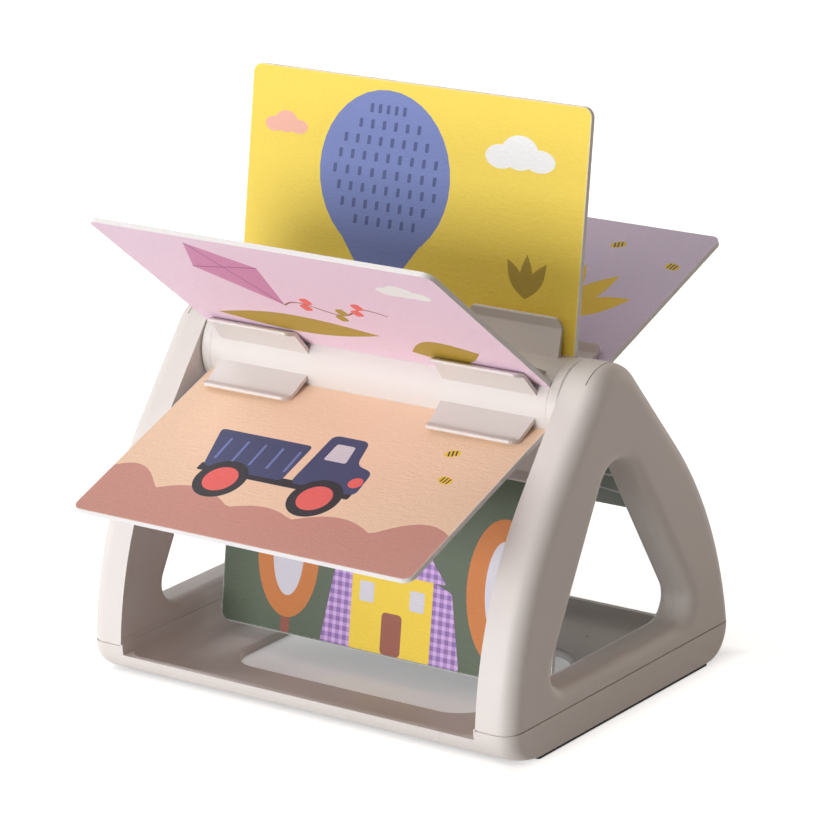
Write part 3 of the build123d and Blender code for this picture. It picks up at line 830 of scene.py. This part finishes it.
falling = {
    1: ("pink", [("olive", 1, ground(hills(10, (-50, 60, 22), (40, 70, 16))))] + sun(48, 78, 11)
        + round_tree(-30, 22, 22, "coral")),
    2: ("blue", [("periwinkle", 1, ground(hills(12, (-20, 90, 10), (70, 50, 18))))]
        + kite(30, 74, 20, "coral") + cloud(-50, 80, 14)),
    3: ("peach", [("brown", 1, ground(hills(17, (-84, 26, 20), (-44, 30, 13), (-2, 26, 9),
                                            (38, 30, 12), (82, 30, 19))))]
        + truck(-10, 38, 33) + pebble(62, 84, 4.0) + pebble(70, 66, 4.0, -12)),
    4: ("green", house(4, 0.6, 32) + round_tree(-57, 0.6, 36, trunk=0.2)
        + round_tree(66, 0.6, 41, trunk=0.12)),
    5: ("green", [("mist", 1, ribbon(wave(-80, v, 80, v, 3, 3), 3.0)) for v in (24, 48, 72)]),
    6: ("yellow", [("olive", 1, ground(hills(8, (-60, 50, 20), (0, 46, 12), (60, 56, 22))))]
        + sun(-40, 78, 12, "coral") + cloud(40, 76, 16)),
}
print("pictures:", len(rising) + len(falling))

# %% [markdown]
# Each picture is built flat at the origin: a sheet of embossed paper, and on it the shapes, in
# layers about a hundredth of a millimetre apart. The pieces are joined, their skins are cleaned,
# and then the mesh itself is leaned and moved to its side of the page, so the object stays at the
# origin. It rides on the drum, as the page does.


# %% Press a picture on its page
INK_SUNK = 0.02 * MM
FIRST_LAYER = 0.04 * MM
NEXT_LAYER = 0.013 * MM
SHEET_INSET = 0.15 * MM
SHEET_TUCK = 0.6 * MM
SHEET_CORNER = 4.85 * MM


def cut_out(outlines, colour, layer):
    """One flat, closed mesh of all the shapes that share an ink and a layer."""
    curve = bpy.data.curves.new("cut_out", "CURVE")
    curve.dimensions = "2D"
    curve.fill_mode = "BOTH"
    top = FIRST_LAYER + NEXT_LAYER * layer
    curve.extrude = (top + INK_SUNK) / 2
    for outline in outlines:
        spline = curve.splines.new("POLY")
        spline.points.add(len(outline) - 1)
        for point, (u, v) in zip(spline.points, outline):
            point.co = (u * MM, v * MM, 0, 1)
        spline.use_cyclic_u = True
    shape = bpy.data.objects.new("cut_out", curve)
    bpy.context.scene.collection.objects.link(shape)
    shape.location.z = (top - INK_SUNK) / 2
    shape.data.materials.append(ink[colour])
    select_only(shape)
    bpy.ops.object.convert(target="MESH")
    bpy.ops.object.transform_apply(location=True, rotation=False, scale=False)
    return bpy.context.view_layer.objects.active


def paper_sheet(colour, rises):
    """The sheet under the shapes: tucked into the drum, with round corners at the free edge."""
    tall = picture_height * MM
    low_v = -SHEET_TUCK if rises else SHEET_INSET
    high_v = tall - SHEET_INSET if rises else tall + SHEET_TUCK
    bpy.ops.object.select_all(action="DESELECT")
    bpy.ops.mesh.primitive_plane_add(size=1, location=(0, (low_v + high_v) / 2, -INK_SUNK))
    sheet = bpy.context.view_layer.objects.active
    sheet.scale = (2 * (page_half - SHEET_INSET), high_v - low_v, 1)
    bpy.ops.object.transform_apply(location=True, rotation=False, scale=True)
    bpy.ops.object.mode_set(mode="EDIT")
    bpy.ops.mesh.select_mode(type="VERT")
    bpy.ops.mesh.select_all(action="DESELECT")
    bpy.ops.object.mode_set(mode="OBJECT")
    free_edge = high_v if rises else low_v
    for point in sheet.data.vertices:
        point.select = abs(point.co.y - free_edge) < SHEET_INSET
    bpy.ops.object.mode_set(mode="EDIT")
    bpy.ops.mesh.bevel(offset=SHEET_CORNER, segments=8, affect="VERTICES")
    bpy.ops.mesh.select_all(action="SELECT")
    rise = (0, 0, INK_SUNK + FIRST_LAYER)
    bpy.ops.mesh.extrude_region_move(TRANSFORM_OT_translate={"value": rise})
    bpy.ops.object.mode_set(mode="OBJECT")
    sheet.data.materials.append(ink[colour])
    return sheet


def flat_coordinates(thing):
    """Give each corner its place, in tenths of a metre from the picture's middle."""
    layer = thing.data.uv_layers.new(name="picture")
    middle = picture_height * MM / 2
    for loop in thing.data.loops:
        spot = thing.data.vertices[loop.vertex_index].co
        layer.data[loop.index].uv = (spot.x * 10, (spot.y - middle) * 10)


def press(index, rises, colour, shapes):
    """Build one picture flat, then carry it to its side of the page."""
    by_layer = {}
    for tone, layer, outline in shapes:
        by_layer.setdefault((layer, tone), []).append(outline)
    sheet = paper_sheet(colour, rises)
    cuts = [cut_out(outlines, tone, layer) for (layer, tone), outlines in sorted(by_layer.items())]
    select_only(sheet, *cuts)
    bpy.ops.object.join()
    sheet.name = f"picture_{index}_{'rising' if rises else 'falling'}"
    for layer in list(sheet.data.uv_layers):
        sheet.data.uv_layers.remove(layer)
    close_skin(sheet)
    flat_coordinates(sheet)
    angle, reach, _, thick = pages[index]
    if rises:
        stand = Matrix.Translation((0, -thick, drum_radius)) @ Matrix.Rotation(radians(90), 4, "X")
    else:
        stand = Matrix.Translation((0, thick, reach)) @ Matrix.Rotation(radians(-90), 4, "X")
    lean = Matrix.Rotation(angle - radians(90), 4, "X")
    sheet.data.transform(Matrix.Translation((0, 0, axis_z)) @ lean @ stand)
    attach(sheet, "drum")
    return sheet


print("layers are", NEXT_LAYER / MM, "mm apart")

# %% Press all twelve
for index in pages:
    for rises, pictures in ((True, rising), (False, falling)):
        colour, shapes = pictures[index]
        picture = press(index, rises, colour, shapes)
        print(picture.name, "has", len(picture.data.polygons), "faces")

# %% [markdown]
# ## Floor, light and camera
#
# The book stands on a plain floor in a white room. The camera sees a floor that is a little
# brighter than it is lit, so the open floor runs into the white background and only the deep
# shade under the book stays. That glow is weakest under the base and grows with the distance
# from it. Every other ray meets a plain pale floor that gives off no light of its own, so it
# doesn't flood the book from below. The room is white to the camera and nearly dark to every
# other ray, so the lamps alone light the book.

# %% Floor
BLACK = (0, 0, 0, 1)
WHITE = (1, 1, 1, 1)
FLOOR_LIT = (0.8, 0.79, 0.78, 1)
FLOOR_SEEN = (0.85, 0.85, 0.85, 1)
GLOW_AT_EDGE = 0.62
GLOW_NEAR_PER_METRE = 22.0
GLOW_NEAR_LEAST = 0.22
GLOW_NEAR_MOST = 0.8
GLOW_FAR_PER_METRE = 0.9
BASE_DEPTH_SHARE = 0.7


def seen_rays(tree):
    """One where the ray comes from the camera, straight or by a mirror or through glass."""
    rays = tree.nodes.new("ShaderNodeLightPath")
    seen = math_node(tree, "MAXIMUM", rays.outputs["Is Camera Ray"], rays.outputs["Is Glossy Ray"])
    return math_node(tree, "MAXIMUM", seen, rays.outputs["Is Transmission Ray"])


bpy.ops.object.select_all(action="DESELECT")
bpy.ops.mesh.primitive_plane_add(size=8)
floor = bpy.context.view_layer.objects.active
floor.name = "floor"
floor_paper, tree, shader = new_material("floor paper", 0.9)
shader.inputs["Specular IOR Level"].default_value = 0.0
seen = seen_rays(tree)
mixed = blend_colours(tree, seen, FLOOR_LIT, FLOOR_SEEN)
tree.links.new(mixed, shader.inputs["Base Color"])
parts = separate(tree, object_place(tree))
from_middle_x = math_node(tree, "ABSOLUTE", parts[0])
from_middle_y = math_node(tree, "ABSOLUTE", parts[1])
away_x = math_node(tree, "SUBTRACT", from_middle_x, cad_box[1].x)
away_y = math_node(tree, "SUBTRACT", from_middle_y, cad_box[1].y * BASE_DEPTH_SHARE)
away = math_node(tree, "MAXIMUM", away_x, away_y)
# The glow is painted light that only the camera sees. It is weakest near and under the base, so it
# paints a darker shade on the floor round the book.
near_glow = math_node(tree, "MULTIPLY_ADD", away, GLOW_NEAR_PER_METRE, GLOW_AT_EDGE)
near_glow = math_node(tree, "MAXIMUM", near_glow, GLOW_NEAR_LEAST)
near_glow = math_node(tree, "MINIMUM", near_glow, GLOW_NEAR_MOST)
far_glow = math_node(tree, "MULTIPLY", away, GLOW_FAR_PER_METRE)
far_glow = math_node(tree, "MAXIMUM", far_glow, 0.0)
glow = math_node(tree, "MINIMUM", math_node(tree, "ADD", near_glow, far_glow), 1.0)
shown = math_node(tree, "MULTIPLY", seen, glow)
tree.links.new(blend_colours(tree, shown, BLACK, WHITE), shader.inputs["Emission Color"])
shader.inputs["Emission Strength"].default_value = 1.0
floor.data.materials.append(floor_paper)

# %% World
ROOM_DARK = (0.01, 0.009, 0.008, 1)
world = bpy.data.worlds.new("studio")
bpy.context.scene.world = world
world.use_nodes = True
tree = world.node_tree
room = tree.nodes["Background"]
tree.links.new(blend_colours(tree, seen_rays(tree), ROOM_DARK, WHITE), room.inputs["Color"])
print("made the floor and the world")

# %% [markdown]
# Two large windows stand low at the front and the left, so that they reach the pages' fronts and
# the tray's lip, which a low card brightens a little more. The right-hand end frame turns away
# from both windows and shows its roundings in soft shade. The small lamps stand for the ceiling
# and for walls that send some light back. Their powers come from a comparison of each lamp's own
# picture with the real object's shading.


# %% Lamps
AIM_HEIGHT = 0.12


def soft_lamp(name, turn, rise, distance, wide, tall, power, colour):
    """A soft lamp turned to the book, at angles in degrees to the right of the front and up."""
    data = bpy.data.lights.new(name, "AREA")
    data.shape = "RECTANGLE"
    data.size = wide
    data.size_y = tall
    data.energy = power
    data.color = colour
    lamp = bpy.data.objects.new(name, data)
    bpy.context.scene.collection.objects.link(lamp)
    turn, rise = radians(turn), radians(rise)
    way = Vector((sin(turn) * cos(rise), -cos(turn) * cos(rise), sin(rise)))
    lamp.location = way * distance + Vector((0, 0, AIM_HEIGHT))
    lamp.rotation_euler = way.to_track_quat("Z", "Y").to_euler()


soft_lamp("front window", -11, 2, 4.5, 2.2, 2.2, 170.0, (0.96, 1.0, 1.05))
soft_lamp("left window", -60, 8, 3.5, 2.1, 2.1, 42.0, (1.0, 1.0, 1.0))
soft_lamp("front card", -12, -4, 0.85, 1.0, 0.12, 1.3, (1.0, 1.0, 1.02))
soft_lamp("left ceiling", -85, 50, 2.0, 0.9, 0.9, 8.0, (1.0, 1.0, 1.0))
soft_lamp("front ceiling", -15, 50, 2.0, 0.9, 0.9, 2.8, (1.2, 1.0, 0.85))
soft_lamp("camera wall", 30, 50, 2.0, 0.9, 0.9, 3.8, (1.2, 1.0, 0.85))
soft_lamp("right wall", 150, 8, 2.0, 1.2, 1.2, 8.2, (1.15, 1.0, 0.88))
soft_lamp("back wall", 180, 40, 2.0, 1.2, 1.2, 3.2, (1.15, 1.0, 0.88))
print("lamps:", len(bpy.data.lights))

# %% [markdown]
# The camera is a long lens from the front right and above. Its place, its turn and its lens come
# from a fit to the corners of the pages and the frames.

# %% Camera
CAMERA_TURN = 37.275
CAMERA_RISE = 17.511
CAMERA_ROLL = -2.126
CAMERA_PLACE = (1.1717, -1.5339, 0.7320)
CAMERA_LENS = 194.03
turn, rise, roll = radians(CAMERA_TURN), radians(CAMERA_RISE), radians(CAMERA_ROLL)
back = Vector((sin(turn) * cos(rise), -cos(turn) * cos(rise), sin(rise)))
right = Vector((0, 0, 1)).cross(back).normalized()
up = back.cross(right)
right, up = right * cos(roll) + up * sin(roll), up * cos(roll) - right * sin(roll)
place = Vector(CAMERA_PLACE)
camera_data = bpy.data.cameras.new("camera")
camera_data.lens = CAMERA_LENS
camera_data.sensor_width = 36.0
camera = bpy.data.objects.new("camera", camera_data)
bpy.context.scene.collection.objects.link(camera)
camera.matrix_world = Matrix.Translation(place) @ Matrix((right, up, back)).transposed().to_4x4()
bpy.context.scene.camera = camera
bpy.context.scene.view_settings.view_transform = "Standard"
print("the camera stands", round(place.length, 2), "m away")
